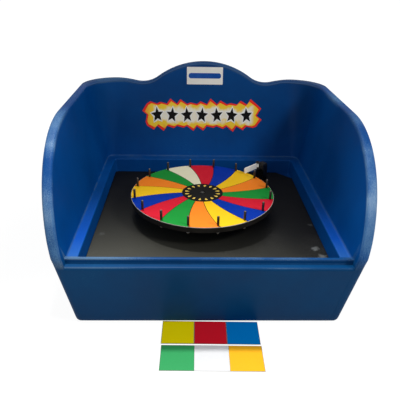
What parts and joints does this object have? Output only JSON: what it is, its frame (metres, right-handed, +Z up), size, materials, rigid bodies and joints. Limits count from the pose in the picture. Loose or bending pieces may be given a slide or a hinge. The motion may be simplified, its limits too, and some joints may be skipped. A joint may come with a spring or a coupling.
{
  "type": "prize wheel",
  "caption": "Table-top colour wheel with rim pegs and a sprung flap, turning in an open plastic tub with high wings, with two loose cards of colour squares.",
  "frame": {"origin": "on the table in the middle of the tub's width, level with the wheel's axle", "axes": "+X to the right seen from the open front, +Y towards the crowned back wall, +Z up along the wheel's axle"},
  "size_m": [0.7866, 0.8765, 0.4975],
  "materials": {
    "blue_plastic": "fine matt, scuffed",
    "black_board": "fine grained matt",
    "dark_steel": "black paint, worn",
    "bright_steel": "turned",
    "zinc_steel": "zinc plated",
    "cage_brass": "pressed",
    "hub_aluminium": "turned",
    "black_plywood": "black painted plywood",
    "white_sheet": "gloss sheet",
    "black_film": "gloss film",
    "red_film": "gloss film",
    "blue_film": "gloss film",
    "yellow_film": "gloss film",
    "orange_film": "gloss film",
    "green_film": "gloss film",
    "white_film": "gloss film",
    "drop_ink": "printed",
    "dark_sleeve": "dark tube",
    "black_post": "satin black",
    "flap_plastic": "flexible strip",
    "sign_red": "cut vinyl",
    "sign_yellow": "cut vinyl",
    "sign_black": "cut vinyl",
    "sign_white": "cut vinyl",
    "label_white": "sticker",
    "label_blue": "sticker",
    "card_white": "laminated",
    "card_green": "laminated",
    "card_amber": "laminated",
    "card_yellow": "laminated",
    "card_red": "laminated",
    "card_blue": "laminated"
  },
  "bodies": {
    "root": {"tub": "blue_plastic", "floor_board": "black_board", "base_flange": "dark_steel", "flange_screws": "zinc_steel", "axle": "bright_steel", "axle_washer": "bright_steel", "axle_nut": "zinc_steel", "bearing_inner_rings": "bright_steel", "bearing_spacer": "bright_steel", "clacker_post": "black_post", "post_screws": "zinc_steel", "flap_bracket": "dark_steel", "bracket_screws": "zinc_steel", "flap_pin": "zinc_steel", "flap_pin_nut": "zinc_steel", "flap_spring": "bright_steel", "sign_border": "sign_red", "sign_panel": "sign_yellow", "sign_star_edges": "sign_white", "sign_stars": "sign_black", "label": "label_white", "label_bar": "label_blue"},
    "wheel": {"wheel_hub": "hub_aluminium", "bearing_outer_rings": "bright_steel", "hub_screws": "zinc_steel", "wheel_disc": "black_plywood", "face_sheet": "white_sheet", "line_film": "black_film", "red_segments": "red_film", "blue_segments": "blue_film", "yellow_segments": "yellow_film", "orange_segments": "orange_film", "green_segments": "green_film", "white_segment": "white_film", "hub_film": "black_film", "hub_drops": "drop_ink", "peg_studs": "zinc_steel", "peg_sleeves": "dark_sleeve", "peg_washers": "zinc_steel", "peg_nuts": "zinc_steel"},
    "cages": {"bearing_balls": "bright_steel", "bearing_cages": "cage_brass"},
    "flap": {"flap": "flap_plastic"},
    "front_card": {"front_card": "card_white", "front_card_green": "card_green", "front_card_amber": "card_amber"},
    "back_card": {"back_card": "card_white", "back_card_yellow": "card_yellow", "back_card_red": "card_red", "back_card_blue": "card_blue"}
  },
  "joints": [
    {"name": "wheel_spin", "type": "hinge", "parent": "root", "child": "wheel", "pos_m": [-0.01, 0, 0.18], "axis": [0, 0, 1], "continuous": true},
    {"name": "cage_spin", "type": "hinge", "parent": "root", "child": "cages", "pos_m": [-0.01, 0, 0.17], "axis": [0, 0, 1], "continuous": true},
    {"name": "flap_swing", "type": "hinge", "parent": "root", "child": "flap", "pos_m": [0.16995, 0.17499, 0.2085], "axis": [0, 0, 1], "range_deg": [-45, 45], "stiffness_Nm_per_rad": 0.05},
    {"name": "front_card_slide", "type": "slide", "parent": "root", "child": "front_card", "axis": [0, -0.8944, 0.4472], "range_m": [0, 0.15]},
    {"name": "back_card_slide", "type": "slide", "parent": "root", "child": "back_card", "axis": [0, -0.8944, 0.4472], "range_m": [0, 0.15]}
  ]
}
